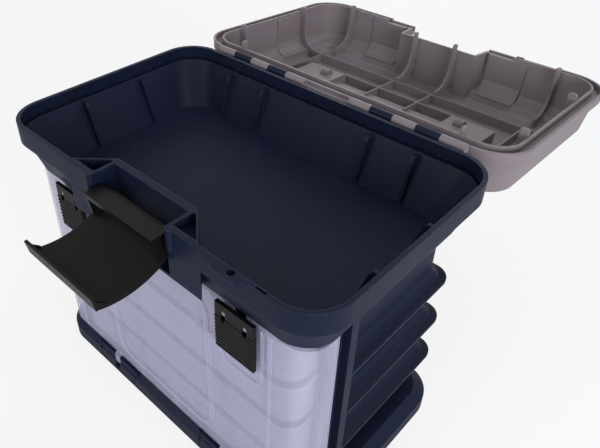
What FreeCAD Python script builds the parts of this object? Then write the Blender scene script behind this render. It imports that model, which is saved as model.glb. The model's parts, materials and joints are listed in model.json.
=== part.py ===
import FreeCAD, Part
import math
import os
import Sketcher

# Seat box for fishing: a deep top bin on a cabinet of four pull-out trays,
# a clear drop-down door in front and a lid that stands open behind.
# Millimetres, +X right, +Y back, +Z up, origin at the middle of the base's underside.

TRAYS = 4

DIMENSIONS = {
    # top bin
    "rim_width": 445,
    "rim_depth": 280,
    "rim_radius": 42,
    "rim_land": 4.5,
    "band_height": 24,
    "step_height": 10,
    "step_inset": 8,
    "skirt_height": 60,
    "skirt_inset": 16,
    "skirt_wall": 2.5,
    "bin_depth": 70,
    "bin_floor_width": 380,
    "bin_floor_depth": 220,
    "bin_floor_radius": 30,
    "bin_floor_thickness": 3,
    "shoulder_drop": 16,
    "shoulder_inset": 3,
    "gusset_thickness": 4,
    "side_gusset_front": 45,
    "side_gusset_back": 38,
    "back_gusset_inner": 78,
    "back_gusset_outer": 136,
    # recess of the front latch
    "recess_half": 54.5,
    "recess_depth": 28,
    "recess_land": 8,
    "recess_side": 3.5,
    "recess_flare": 97,
    "recess_floor": 3,
    "recess_post": 4.5,
    "well_depth": 12,
    "well_wall": 3,
    # eye for a padlock
    "eye_place": 132,
    "eye_length": 42,
    "eye_reach": 6,
    "eye_thickness": 4,
    "eye_bore": 4,
    "slot_place": 165,
    "slot_length": 12,
    "slot_width": 2.4,
    # lid hinge
    "hinge_offset": 9.5,
    "hinge_drop": 1,
    "knuckle_radius": 5,
    "knuckle_first": 33,
    "knuckle_length": 29,
    "knuckle_gap": 0.4,
    "hinge_pin_radius": 1.6,
    "pin_clearance": 0.08,
    # lid
    "lid_overhang": 4,
    "lid_overlap": 2,
    "lid_height": 67,
    "lid_band_height": 12,
    "lid_step": 6,
    "lid_taper": 5,
    "lid_edge_inset": 6,
    "lid_edge_height": 6,
    "lid_wall": 2.5,
    "lid_pad_rise": 12,
    "lid_pad_inset": 13,
    "lid_bead_inset": 12,
    "lid_bead_height": 1.5,
    "lid_groove_width": 9,
    "lid_groove_depth": 7,
    "lid_open_angle": 184,
    "lid_recess_depth": 35,
    "lid_ledge_reach": 31,
    "lid_rib_height": 12.5,
    "lid_rib_thickness": 2.4,
    "lid_rib_front": 203,
    "lid_rib_back": 165,
    "lid_fin_reach": 11,
    "lid_fin_drop": 8,
    "lid_fin_relief": 1,
    "lid_fin_inner": 31,
    "lid_fin_outer": 163,
    "lid_fin_front": 205,
    "lid_fin_back": 72,
    "lid_panel_inner": 68,
    "lid_panel_outer": 122,
    # carrying handle in the lid
    "handle_span": 250,
    "handle_arm": 36,
    "handle_bar": 11,
    "handle_thickness": 7,
    "handle_place": 134,
    "handle_pin_radius": 2.2,
    "handle_recess_depth": 8,
    "pod_inner": 86,
    "pod_outer": 146,
    # front latch
    "latch_width": 105,
    "latch_plate": 3,
    "latch_reach": 83,
    "latch_root_inset": 5,
    "latch_root_drop": 11.3,
    "latch_bow": 11,
    "latch_lip": 17,
    "latch_pivot_inset": 12,
    "latch_pivot_drop": 20,
    "latch_pin_radius": 2,
    "latch_open_droop": 9.6,
    "latch_cheek": 3.5,
    "latch_trough_reach": 22.3,
    "latch_trough_top": 11.9,
    # cabinet
    "cabinet_width": 380,
    "cabinet_back": 111,
    "cabinet_wall": 3,
    "cabinet_radius": 12,
    "cabinet_front": 84,
    "ledge_reach": 15,
    "ledge_edge": 3,
    "ledge_cove": 13,
    "ledge_drop": 13,
    "column_front": 67,
    "column_back": 57,
    "runner_reach": 9,
    "runner_thickness": 3,
    # base
    "base_width": 435,
    "base_depth": 256,
    "base_radius": 40,
    "base_height": 31,
    "base_side": 20,
    "base_slope": 12,
    "base_wall": 3,
    "base_foot_chamfer": 2,
    "base_rib": 2.4,
    "base_rib_pitch": 44,
    # front door
    "door_width": 410,
    "door_half_depth": 122.5,
    "door_radius": 26,
    "door_wall": 2.4,
    "door_gap": 3.2,
    "door_frame_half": 85,
    "door_frame_rib": 6,
    "door_frame_radius": 25,
    "door_rib_place": 161,
    "door_frame_raise": 2,
    "door_axis_height": 20,
    "door_axis_inset": 5,
    "door_arm_place": 96,
    "door_arm_width": 8,
    "hinge_bay_half": 36,
    "hinge_pin_half": 14,
    "door_pin_radius": 2,
    # latches of the door
    "door_latch_place": 126.5,
    "door_latch_width": 47,
    "door_latch_height": 58,
    "door_latch_thickness": 4,
    "door_latch_travel": 6,
    "door_latch_hook": 1.2,
    "door_notch_half": 8,
    "pocket_half": 28,
    "latch_ridges": 9,
    # trays
    "tray_pitch": 60,
    "tray_width": 363,
    "tray_depth": 220,
    "tray_height": 46,
    "tray_wall": 1.6,
    "tray_radius": 22,
    "tray_lid": 2.6,
    "tray_headroom": 4,
    "divider_pitch": 60,
    "divider_thickness": 1.2,
    # fits
    "seat_gap": 0.3,
    "running_gap": 0.5,
    # screws and tongue that hold the cabinet to the base
    "screw_radius": 1.75,
    "screw_head_radius": 3.6,
    "screw_head_height": 2.2,
    "screw_grip": 12,
    "tongue_length": 120,
}

doc = FreeCAD.newDocument("seat_box")
sheet = doc.addObject("Spreadsheet::Sheet", "sizes")


class Size:
    """A length that knows its expression in the sizes sheet and its present value."""

    def __init__(self, text, value):
        self.text = text
        self.value = float(value)

    def join(self, sign, other, value):
        return Size(f"({self.text} {sign} {other.text})", value)

    def __add__(self, other):
        other = as_size(other)
        return self.join("+", other, self.value + other.value)

    def __sub__(self, other):
        other = as_size(other)
        return self.join("-", other, self.value - other.value)

    def __mul__(self, other):
        other = as_size(other)
        return self.join("*", other, self.value * other.value)

    def __truediv__(self, other):
        other = as_size(other)
        return self.join("/", other, self.value / other.value)

    def __radd__(self, other):
        return as_size(other) + self

    def __rsub__(self, other):
        return as_size(other) - self

    def __rmul__(self, other):
        return as_size(other) * self

    def __neg__(self):
        return Size(f"(0 - {self.text})", -self.value)


def as_size(number):
    """A plain number as a Size; a Size stays itself."""
    if isinstance(number, Size):
        return number
    return Size(f"({number})", number)


class Sizes:
    """The driving dimensions by name."""


d = Sizes()
for row, (alias, number) in enumerate(DIMENSIONS.items(), start=1):
    sheet.set(f"A{row}", alias)
    sheet.set(f"B{row}", str(number))
    sheet.setAlias(f"B{row}", alias)
    setattr(d, alias, Size(f"sizes.{alias}", number))
doc.recompute()


def bind(item, prop, size):
    """Tie one property of an object to the sheet."""
    size = as_size(size)
    item.setExpression(prop, size.text)


def new_body(name):
    """A moulding that is built feature by feature."""
    body = doc.addObject("PartDesign::Body", name)
    body.Label = name
    return body


class Moulding:
    """One moulded piece: a core, then solids joined to it or cut from it in order."""

    def __init__(self, name):
        self.name = name
        self.core = None
        self.stages = []

    def body(self):
        """The core, made when first asked for."""
        if self.core is None:
            self.core = new_body(self.name + "_core")
            self.stages.append([False, [self.core]])
        return self.core

    def take(self, piece, removes):
        """Join or cut one more solid."""
        if not self.stages or self.stages[-1][0] != removes:
            self.stages.append([removes, []])
        self.stages[-1][1].append(piece)
        return piece

    def finish(self, pose=None):
        """The whole piece under its own name, in its place."""
        whole = None
        for number, (removes, pieces) in enumerate(self.stages):
            if removes:
                tool = pieces[0] if len(pieces) == 1 else joined(f"{self.name}_tools_{number}", pieces)
                whole = carved(f"{self.name}_carved_{number}", whole, tool)
                continue
            solids = pieces if whole is None else [whole] + pieces
            whole = solids[0] if len(solids) == 1 else joined(f"{self.name}_joined_{number}", solids)
        if hasattr(whole, "Refine"):
            whole.Refine = True
        whole.Label = self.name
        if pose:
            whole.setExpression("Placement", pose)
        return whole


def origin_plane(body, role):
    """One of the body's own origin planes."""
    return [item for item in body.Origin.OriginFeatures if item.Role == role][0]


def new_sketch(body, plane, level):
    """An empty sketch on an origin plane, shifted along that plane's normal."""
    sketch = body.newObject("Sketcher::SketchObject", body.Name + "_sketch")
    sketch.AttachmentSupport = (origin_plane(body, plane), [""])
    sketch.MapMode = "FlatFace"
    bind(sketch, "AttachmentOffset.Base.z", level)
    return sketch


def dimension(sketch, kind, places, size, label):
    """Add one driving constraint and tie it to the sheet."""
    size = as_size(size)
    index = sketch.addConstraint(Sketcher.Constraint(kind, *places, size.value))
    sketch.renameConstraint(index, label)
    bind(sketch, f"Constraints.{label}", size)


def add_rounded(sketch, width, depth, radius, mark="r", centre=(0, 0)):
    """A rounded rectangle about a centre, fully constrained."""
    width, depth, radius = as_size(width), as_size(depth), as_size(radius)
    centre_x, centre_y = as_size(centre[0]), as_size(centre[1])
    half_w, half_d, round_r = width.value / 2, depth.value / 2, radius.value
    mid = FreeCAD.Vector(centre_x.value, centre_y.value, 0)
    inner_w, inner_d = half_w - round_r, half_d - round_r
    first = sketch.GeometryCount
    ends = [
        ((-inner_w, -half_d), (inner_w, -half_d)),
        ((half_w, -inner_d), (half_w, inner_d)),
        ((inner_w, half_d), (-inner_w, half_d)),
        ((-half_w, inner_d), (-half_w, -inner_d)),
    ]
    corners = [(inner_w, -inner_d), (inner_w, inner_d), (-inner_w, inner_d), (-inner_w, -inner_d)]
    for index in range(4):
        start, stop = ends[index]
        line = Part.LineSegment(mid + FreeCAD.Vector(*start, 0), mid + FreeCAD.Vector(*stop, 0))
        sketch.addGeometry(line, False)
        circle = Part.Circle(mid + FreeCAD.Vector(*corners[index], 0), FreeCAD.Vector(0, 0, 1), round_r)
        turn = math.pi / 2 * (index - 1)
        sketch.addGeometry(Part.ArcOfCircle(circle, turn, turn + math.pi / 2), False)
    for index in range(4):
        line = first + 2 * index
        following = first + (2 * index + 2) % 8
        sketch.addConstraint(Sketcher.Constraint("Tangent", line, 2, line + 1, 1))
        sketch.addConstraint(Sketcher.Constraint("Tangent", line + 1, 2, following, 1))
        side = "Vertical" if index % 2 else "Horizontal"
        sketch.addConstraint(Sketcher.Constraint(side, line))
        if index:
            sketch.addConstraint(Sketcher.Constraint("Equal", first + 1, line + 1))
    dimension(sketch, "Radius", (first + 1,), radius, mark + "_radius")
    dimension(sketch, "DistanceX", (-1, 1, first + 2, 1), centre_x + width / 2, mark + "_right")
    dimension(sketch, "DistanceX", (-1, 1, first + 6, 1), centre_x - width / 2, mark + "_left")
    dimension(sketch, "DistanceY", (-1, 1, first + 4, 1), centre_y + depth / 2, mark + "_back")
    dimension(sketch, "DistanceY", (-1, 1, first, 1), centre_y - depth / 2, mark + "_front")


def add_outline(sketch, points, arcs=None, mark="p"):
    """A closed outline whose corners are tied to the sheet; arcs gives some sides a radius."""
    arcs = arcs or {}
    points = [(as_size(across), as_size(along)) for across, along in points]
    count = len(points)
    first = sketch.GeometryCount
    for index in range(count):
        start = FreeCAD.Vector(points[index][0].value, points[index][1].value, 0)
        following = points[(index + 1) % count]
        stop = FreeCAD.Vector(following[0].value, following[1].value, 0)
        if index not in arcs:
            sketch.addGeometry(Part.LineSegment(start, stop), False)
            continue
        radius, side = as_size(arcs[index][0]).value, arcs[index][1]
        half = (stop - start) / 2
        height = math.sqrt(max(radius * radius - half.Length * half.Length, 0))
        normal = FreeCAD.Vector(-half.y, half.x, 0).normalize()
        centre = start + half + normal * (height * side)
        middle = centre - normal * (radius * side)
        sketch.addGeometry(Part.Arc(start, middle, stop), False)
    for index in range(count):
        here = first + index
        following = first + (index + 1) % count
        here_end = arc_end(sketch, here, points[(index + 1) % count])
        next_start = 3 - arc_end(sketch, following, points[(index + 2) % count])
        sketch.addConstraint(Sketcher.Constraint("Coincident", here, here_end, following, next_start))
        dimension(sketch, "DistanceX", (-1, 1, following, next_start), points[(index + 1) % count][0],
                  f"{mark}_x{index}")
        dimension(sketch, "DistanceY", (-1, 1, following, next_start), points[(index + 1) % count][1],
                  f"{mark}_y{index}")
        if index in arcs:
            dimension(sketch, "Radius", (here,), arcs[index][0], f"{mark}_r{index}")


def arc_end(sketch, index, place):
    """Which end of a side lies at a place: 1 is its start, 2 its end."""
    target = FreeCAD.Vector(place[0].value, place[1].value, 0)
    start, stop = sketch.getPoint(index, 1), sketch.getPoint(index, 2)
    return 1 if (start - target).Length < (stop - target).Length else 2


def extrude(body, sketch, length, removes):
    """Add or remove a sketch's outline along its plane's normal."""
    kind = "Pocket" if removes else "Pad"
    feature = body.newObject("PartDesign::" + kind, body.Name + "_" + kind.lower())
    feature.Profile = sketch
    feature.Reversed = removes
    bind(feature, "Length", length)
    return feature


def slab(moulding, plane, low, high, points, arcs=None, removes=False):
    """An outline between two levels along X, Y or Z."""
    low, high = as_size(low), as_size(high)
    level = -high if plane == "XZ_Plane" else low
    piece = new_body(moulding.name + "_slab")
    sketch = new_sketch(piece, plane, level)
    add_outline(sketch, points, arcs)
    extrude(piece, sketch, high - low, False)
    return moulding.take(piece, removes)


def brick(moulding, across, along, up, removes=False):
    """A square-edged block between limits in X, Y and Z."""
    return moulding.take(plain_box(moulding.name + "_block", across, along, up), removes)


def rounded_slab(moulding, low, high, width, depth, radius, centre=(0, 0), removes=False):
    """A rounded block of the core between two levels."""
    body = moulding.body()
    low, high = as_size(low), as_size(high)
    sketch = new_sketch(body, "XY_Plane", low)
    add_rounded(sketch, width, depth, radius, centre=centre)
    return extrude(body, sketch, high - low, removes)


def ring(moulding, low, high, outer, inner, centre=(0, 0), removes=False):
    """A wall of the core between two rounded outlines; each is width, depth and corner radius."""
    body = moulding.body()
    low, high = as_size(low), as_size(high)
    sketch = new_sketch(body, "XY_Plane", low)
    add_rounded(sketch, *outer, mark="outer", centre=centre)
    add_rounded(sketch, *inner, mark="inner", centre=centre)
    return extrude(body, sketch, high - low, removes)


def stack(moulding, sections, centre=(0, 0), removes=False):
    """A ruled loft of the core through rounded outlines; each is level, width, depth and corner radius."""
    body = moulding.body()
    sketches = []
    for level, width, depth, radius in sections:
        sketch = new_sketch(body, "XY_Plane", level)
        add_rounded(sketch, width, depth, radius, centre=centre)
        sketches.append(sketch)
    kind = "SubtractiveLoft" if removes else "AdditiveLoft"
    feature = body.newObject("PartDesign::" + kind, body.Name + "_" + kind.lower())
    feature.Profile = sketches[0]
    feature.Sections = sketches[1:]
    feature.Ruled = True
    return feature


def round_bar(moulding, axis, middle, radius, low, high, removes=False):
    """A round bar or bore along X, Y or Z; middle is the other two coordinates in order."""
    return moulding.take(plain_rod(moulding.name + "_round", axis, middle, radius, low, high), removes)


def plain_box(name, across, along, up):
    """A separate square-edged solid between limits in X, Y and Z."""
    box = doc.addObject("Part::Box", name)
    for limits, length, base in ((across, "Length", "x"), (along, "Width", "y"), (up, "Height", "z")):
        low, high = as_size(limits[0]), as_size(limits[1])
        bind(box, length, high - low)
        bind(box, "Placement.Base." + base, low)
    return box


def plain_rod(name, axis, middle, radius, low, high):
    """A separate round solid along X, Y or Z."""
    rod = doc.addObject("Part::Cylinder", name)
    turns = {"X": (FreeCAD.Vector(0, 1, 0), 90), "Y": (FreeCAD.Vector(1, 0, 0), -90), "Z": (FreeCAD.Vector(0, 0, 1), 0)}
    rod.Placement = FreeCAD.Placement(FreeCAD.Vector(), FreeCAD.Rotation(*turns[axis]))
    low, high = as_size(low), as_size(high)
    bind(rod, "Radius", radius)
    bind(rod, "Height", high - low)
    others = [letter for letter in "xyz" if letter != axis.lower()]
    bind(rod, "Placement.Base." + others[0], middle[0])
    bind(rod, "Placement.Base." + others[1], middle[1])
    bind(rod, "Placement.Base." + axis.lower(), low)
    return rod


def group(name, pieces):
    """Separate solids of one kind under one name."""
    holder = doc.addObject("Part::Compound", name)
    holder.Label = name
    holder.Links = pieces
    return holder


def joined(name, pieces):
    """Overlapping solids made into one."""
    whole = doc.addObject("Part::MultiFuse", name)
    whole.Label = name
    whole.Shapes = pieces
    whole.Refine = True
    return whole


def carved(name, base, tool):
    """One solid less another."""
    whole = doc.addObject("Part::Cut", name)
    whole.Label = name
    whole.Base = base
    whole.Tool = tool
    return whole


# Levels and places that several pieces share.
deck = d.base_height
bin_under = deck + TRAYS * d.tray_pitch - d.tray_headroom
bin_floor = bin_under + d.bin_floor_thickness
rim_top = bin_floor + d.bin_depth
skirt_bottom = rim_top - d.skirt_height
shoulder = rim_top - d.shoulder_drop
rim_front = -d.rim_depth / 2
rim_back = d.rim_depth / 2
hinge_y = rim_back + d.hinge_offset
hinge_z = rim_top - d.hinge_drop
knuckle_edges = [d.knuckle_first + d.knuckle_length * count for count in range(6)]
recess_back_y = rim_front + d.recess_depth
pivot_y = rim_front + d.latch_pivot_inset
pivot_z = rim_top - d.latch_pivot_drop
door_front = -d.door_half_depth
door_top = skirt_bottom - d.door_gap
door_bottom = deck + d.door_gap
door_axis_y = -d.base_depth / 2 + d.door_axis_inset
screw_x = d.cabinet_width / 2 + 6.5
screw_y = -(d.column_front + d.column_back) / 2
SIDES = (-1, 1)


def make_bin():
    """The navy top bin with its stepped rim, skirt, latch recess, eye and hinge knuckles."""
    body = Moulding("bin")
    step_level = rim_top - d.band_height
    tuck_level = step_level - d.step_height
    outline = [
        (skirt_bottom, d.rim_width - 2 * d.skirt_inset, d.rim_depth - 2 * d.skirt_inset,
         d.rim_radius - d.skirt_inset / 2),
        (tuck_level, d.rim_width - 2 * d.step_inset, d.rim_depth - 2 * d.step_inset,
         d.rim_radius - d.step_inset / 2),
        (step_level, d.rim_width, d.rim_depth, d.rim_radius),
        (rim_top, d.rim_width, d.rim_depth, d.rim_radius),
    ]
    stack(body, outline)
    wall = d.skirt_wall
    hollow = [
        (skirt_bottom - 1, d.rim_width - 2 * d.skirt_inset - 2 * wall, d.rim_depth - 2 * d.skirt_inset - 2 * wall,
         d.rim_radius - d.skirt_inset / 2 - wall),
        (tuck_level - wall, d.rim_width - 2 * d.step_inset - 2 * wall, d.rim_depth - 2 * d.step_inset - 2 * wall,
         d.rim_radius - d.step_inset / 2 - wall),
        (step_level - wall, d.rim_width - 2 * wall, d.rim_depth - 2 * wall, d.rim_radius - wall),
        (shoulder + d.rim_land, d.rim_width - 2 * wall, d.rim_depth - 2 * wall, d.rim_radius - wall),
    ]
    stack(body, hollow, removes=True)
    tub_top_width = d.rim_width - 2 * d.rim_land - 2 * d.shoulder_inset
    tub_top_depth = d.rim_depth - 2 * d.rim_land - 2 * d.shoulder_inset
    tub_radius = d.rim_radius - d.rim_land - d.shoulder_inset
    land_width, land_depth = d.rim_width - 2 * d.rim_land, d.rim_depth - 2 * d.rim_land
    tub = [
        (bin_under, d.bin_floor_width + 2 * wall - 1, d.bin_floor_depth + 2 * wall - 1, d.bin_floor_radius + wall),
        (shoulder, tub_top_width + 2 * wall, tub_top_depth + 2 * wall, tub_radius + wall),
        (rim_top, d.rim_width - wall, d.rim_depth - wall, d.rim_radius - wall / 2),
    ]
    stack(body, tub)
    stack(body, [
        (bin_floor, d.bin_floor_width, d.bin_floor_depth, d.bin_floor_radius),
        (shoulder, tub_top_width, tub_top_depth, tub_radius),
        (rim_top + 1, tub_top_width, tub_top_depth, tub_radius),
    ], removes=True)
    rounded_slab(body, shoulder, rim_top + 1, land_width, land_depth, d.rim_radius - d.rim_land, removes=True)
    make_bin_gussets(body)
    make_bin_recess(body)
    make_bin_eye(body)
    make_bin_knuckles(body)
    return body.finish()


def recess_outline(front, back, mouth, tail):
    """A trapezium seen from above, open to the front."""
    return [(-mouth, front), (mouth, front), (tail, back), (-tail, back)]


def make_bin_recess(body):
    """The notch in the front rim where the latch is hinged, the flared wall round it and a well at each side."""
    inside = rim_front + 1
    half, flare = d.recess_half, d.recess_flare
    tail = half + d.recess_side
    bump_back = recess_back_y + d.recess_land
    slab(body, "XY_Plane", skirt_bottom, rim_top, recess_outline(inside, bump_back, flare, tail))
    tub_front = -d.bin_floor_depth / 2 - d.skirt_wall / 2
    slab(body, "XY_Plane", bin_under, skirt_bottom + 1,
         recess_outline(tub_front, bump_back, tail + (flare - tail) / 4, tail))
    for side in SIDES:
        round_bar(body, "Z", (side * (half + d.recess_post), rim_front + 2), d.recess_post, rim_top - 24, rim_top)
    brick(body, (-half, half), (rim_front - 3, recess_back_y), (skirt_bottom + d.recess_floor, rim_top + 1),
          removes=True)
    well_front = rim_front + d.rim_land + 2
    well_back = bump_back - d.well_wall * 2
    slope = (flare - tail) / (bump_back - inside)
    for side in SIDES:
        near = tail
        far_front = flare - slope * (well_front - inside) - d.well_wall
        far_back = flare - slope * (well_back - inside) - d.well_wall
        well = [(side * near, well_front), (side * far_front, well_front), (side * far_back, well_back),
                (side * near, well_back)]
        slab(body, "XY_Plane", rim_top - d.well_depth, rim_top + 1, well, removes=True)
        slab(body, "XY_Plane", skirt_bottom - 1, rim_top - d.well_depth - d.well_wall, well, removes=True)
    reach = half + d.recess_side - 0.5
    round_bar(body, "X", (pivot_y, pivot_z), d.latch_pin_radius, -reach, reach, removes=True)


def make_bin_gussets(body):
    """Upright ribs inside the bin that stiffen its side and back walls."""
    half = d.gusset_thickness / 2
    foot_out, top_out = d.skirt_wall * 0.5, d.skirt_wall * 0.5
    top_width = (d.rim_width / 2 - d.rim_land - d.shoulder_inset)
    top_depth = (d.rim_depth / 2 - d.rim_land - d.shoulder_inset)
    rise = shoulder - bin_floor
    for place in (-d.side_gusset_front, d.side_gusset_back):
        for side in SIDES:
            foot = d.bin_floor_width / 2
            points = [
                (side * (foot + foot_out), bin_floor - 1),
                (side * (top_width + top_out), shoulder - 1),
                (side * (foot + 15), shoulder - 1),
                (side * (foot + 11), shoulder - 6),
                (side * (foot - 3), bin_floor + rise * 0.08),
                (side * (foot - 3), bin_floor - 1),
            ]
            slab(body, "XZ_Plane", place - half, place + half, points)
    for place in (d.back_gusset_inner, d.back_gusset_outer):
        for side in SIDES:
            foot = d.bin_floor_depth / 2
            points = [
                (foot + foot_out, bin_floor - 1),
                (top_depth + top_out, shoulder - 1),
                (foot + 13, shoulder - 1),
                (foot + 9, shoulder - 6),
                (foot - 3, bin_floor + rise * 0.08),
                (foot - 3, bin_floor - 1),
            ]
            slab(body, "YZ_Plane", side * place - half, side * place + half, points)


def knuckle_spans(kinds):
    """Low and high ends in X of the hinge knuckles of the chosen rooms, on both sides."""
    gap = d.knuckle_gap / 2
    spans = []
    for room in kinds:
        low, high = knuckle_edges[room] + gap, knuckle_edges[room + 1] - gap
        spans.append((low, high))
        spans.append((-high, -low))
    return spans


def make_bin_knuckles(body):
    """The bin's half of the lid hinge."""
    for low, high in knuckle_spans((1, 3)):
        web = [
            (rim_back - 1, hinge_z - d.knuckle_radius - 2),
            (rim_back - 1, rim_top - d.lid_overlap - d.running_gap),
            (hinge_y, rim_top - d.lid_overlap - d.running_gap),
            (hinge_y, hinge_z - d.knuckle_radius),
        ]
        slab(body, "YZ_Plane", low, high, web)
        round_bar(body, "X", (hinge_y, hinge_z), d.knuckle_radius, low, high)
    reach = knuckle_edges[4] + 1
    round_bar(body, "X", (hinge_y, hinge_z), d.hinge_pin_radius + d.pin_clearance, -reach, reach, removes=True)


def make_bin_eye(body):
    """The drilled tab for a padlock and the slot beside it."""
    half = d.eye_length / 2
    middle_y = rim_front + 3
    round_r = d.eye_reach + 3
    straight = half - round_r
    low, high = d.eye_place - straight, d.eye_place + straight
    points = [(low, middle_y - round_r), (high, middle_y - round_r), (high, middle_y), (low, middle_y)]
    slab(body, "XY_Plane", rim_top - d.eye_thickness, rim_top, points)
    for end in (low, high):
        round_bar(body, "Z", (end, middle_y), round_r, rim_top - d.eye_thickness, rim_top)
    hollow_y = middle_y + round_r + 1
    brick(body, (low - round_r - 1, high + round_r + 1), (rim_front + d.rim_land, hollow_y),
          (rim_top - d.eye_thickness - 1, rim_top + 1), removes=True)
    bore_y = rim_front - d.eye_reach + d.eye_bore + 2
    round_bar(body, "Z", (d.eye_place + 3, bore_y), d.eye_bore, rim_top - d.eye_thickness - 1, rim_top + 1,
              removes=True)
    slot_low = d.slot_place - d.slot_length / 2
    slot_y = rim_front + d.rim_land / 2
    brick(body, (slot_low, slot_low + d.slot_length), (slot_y - d.slot_width / 2, slot_y + d.slot_width / 2),
          (rim_top - 6, rim_top + 1), removes=True)


def lid_pose():
    """Placement of everything the lid carries, as an expression: open about the hinge."""
    return (f"placement(vector(0; {hinge_y.text}; {hinge_z.text}); "
            f"rotation(vector(1; 0; 0); 0 - {d.lid_open_angle.text}))")


# The lid's own frame has its origin on the hinge axis, as when it is shut.
lid_edge = rim_top - d.lid_overlap - hinge_z
lid_top = rim_top + d.lid_height - hinge_z
lid_ceiling = lid_top - d.lid_wall
lid_mid = (0, -hinge_y)
lid_width = d.rim_width + 2 * d.lid_overhang
lid_depth = d.rim_depth + 2 * d.lid_overhang
lid_radius = d.rim_radius + d.lid_overhang
bead_width = lid_width - 2 * d.lid_bead_inset
bead_depth = lid_depth - 2 * d.lid_bead_inset
bead_radius = lid_radius - d.lid_bead_inset
room_width = bead_width - 2 * d.lid_wall
room_depth = bead_depth - 2 * d.lid_wall
room_radius = bead_radius - d.lid_wall
lid_shoulder = lid_top - d.lid_pad_rise
lid_rest = rim_top + d.seat_gap - hinge_z
lid_front_y = -hinge_y - lid_depth / 2
lid_notch_y = rim_front + d.lid_recess_depth - hinge_y


def lid_inset(inset, level):
    """One outer section of the lid."""
    return (level, lid_width - 2 * inset, lid_depth - 2 * inset, lid_radius - inset / 2)


def room_inset(inset, level):
    """One section of the room inside the lid."""
    return (level, room_width - 2 * inset, room_depth - 2 * inset, room_radius - inset / 2)


def make_lid():
    """The grey lid: stepped shell with a raised pad, locating bead, fins, ribs, handle recess and knuckles."""
    body = Moulding("lid")
    band_top = lid_edge + d.lid_band_height
    edge_start = d.lid_step + d.lid_taper
    shoulder_inset = edge_start + d.lid_edge_inset
    pad_inset = shoulder_inset + d.lid_pad_inset
    stack(body, [
        lid_inset(as_size(0), lid_edge),
        lid_inset(d.lid_step / 12, band_top),
        lid_inset(d.lid_step, band_top + 2),
        lid_inset(edge_start, lid_shoulder - d.lid_edge_height),
        lid_inset(edge_start + d.lid_edge_inset / 3, lid_shoulder - d.lid_edge_height / 3),
        lid_inset(shoulder_inset, lid_shoulder),
        lid_inset(pad_inset, lid_shoulder + 1),
        lid_inset(pad_inset + 4, lid_top - 2),
        lid_inset(pad_inset + 8, lid_top),
    ], centre=lid_mid)
    stack(body, [room_inset(inset, level) for inset, level in (
        (as_size(0), lid_edge - 1),
        (as_size(0), band_top),
        (as_size(3), lid_shoulder - 12),
        (as_size(6), lid_shoulder - 6),
        (as_size(11), lid_shoulder - 3),
        (as_size(15), lid_shoulder - 2.5),
        (as_size(19), lid_shoulder - 1.5),
        (as_size(23), lid_ceiling - 3.5),
        (as_size(29), lid_ceiling),
    )], centre=lid_mid, removes=True)
    groove_outer = (bead_width + 2 * d.lid_groove_width, bead_depth + 2 * d.lid_groove_width,
                    bead_radius + d.lid_groove_width)
    bead = (bead_width, bead_depth, bead_radius)
    room = (room_width, room_depth, room_radius)
    ring(body, lid_edge - 1, lid_edge + d.lid_groove_depth, groove_outer, bead, centre=lid_mid, removes=True)
    ring(body, lid_edge - d.lid_bead_height, lid_edge + 1, bead, room, centre=lid_mid)
    make_lid_recess(body)
    make_lid_ribs(body)
    make_lid_fins(body)
    make_lid_handle_seat(body)
    make_lid_eye(body)
    make_lid_knuckles(body)
    return body.finish(lid_pose())


def bind_pose(item):
    """Stand a lid-borne piece open on its hinge."""
    item.setExpression("Placement", lid_pose())


def make_lid_recess(body):
    """The notch in the lid's front that takes the shut latch, with the ledge that its lip grips."""
    mouth = d.latch_width / 2 + 4
    wall = d.lid_wall + 0.5
    slab(body, "XY_Plane", lid_rest, lid_ceiling + 1,
         recess_outline(lid_front_y + 9, lid_notch_y + wall, mouth + wall + 4, mouth + wall))
    slab(body, "XY_Plane", lid_edge - d.lid_bead_height - 1, lid_top + 1,
         recess_outline(lid_front_y - 1, lid_notch_y, mouth + 4, mouth), removes=True)
    clear = d.recess_flare + 3
    brick(body, (-clear, clear), (lid_front_y - 1, lid_notch_y + wall + 3),
          (lid_edge - d.lid_bead_height - 1, lid_rest), removes=True)
    ledge_front = lid_notch_y - d.lid_ledge_reach
    brick(body, (-mouth, mouth), (ledge_front, lid_notch_y + 1), (lid_top - 8, lid_top - 1.5))


def make_lid_ribs(body):
    """Crossed ribs under the lid's top."""
    half = d.lid_rib_thickness / 2
    up = (lid_ceiling - d.lid_rib_height, lid_ceiling + 1)
    reach = room_width / 2 - 30
    brick(body, (-reach, reach), (-d.lid_rib_front - half, -d.lid_rib_front + half), up)
    brick(body, (-d.pod_inner - 1, d.pod_inner + 1), (-d.lid_rib_back - half, -d.lid_rib_back + half), up)
    for place in (-d.lid_fin_inner, d.lid_fin_inner):
        brick(body, (place - half, place + half), (-d.lid_rib_front - half, handle_y + 2), up)
    near = room_depth / 2 - hinge_y - 30
    for place in (-d.lid_fin_outer, d.lid_fin_outer):
        brick(body, (place - half, place + half), (-d.lid_rib_front - half, near), up)


def fin_outline(wall, side, relief, reach, tip):
    """Side view of a fin that runs down the lid's wall and curves into the ribs; wall is its inner face."""
    rib_top = lid_ceiling - d.lid_rib_height
    rise = [
        (-0.7, lid_shoulder - 8),
        (-0.7, lid_rest + 0.2),
        (relief, lid_rest - 1.2),
        (relief, tip + 2),
        (relief + 2, tip),
        (reach - 2, tip),
        (reach, tip + 2),
        (reach, rib_top - 25),
        (reach + 3, rib_top - 14),
        (reach + 9, rib_top - 6),
        (reach + 18, rib_top - 1.5),
        (reach + 30, rib_top),
        (reach + 30, lid_ceiling + 1),
        (25, lid_ceiling + 1),
        (20, lid_shoulder + 4),
        (17, lid_shoulder - 0.8),
        (5, lid_shoulder - 1.2),
    ]
    return [(wall - side * as_size(inward), level) for inward, level in rise]


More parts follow.
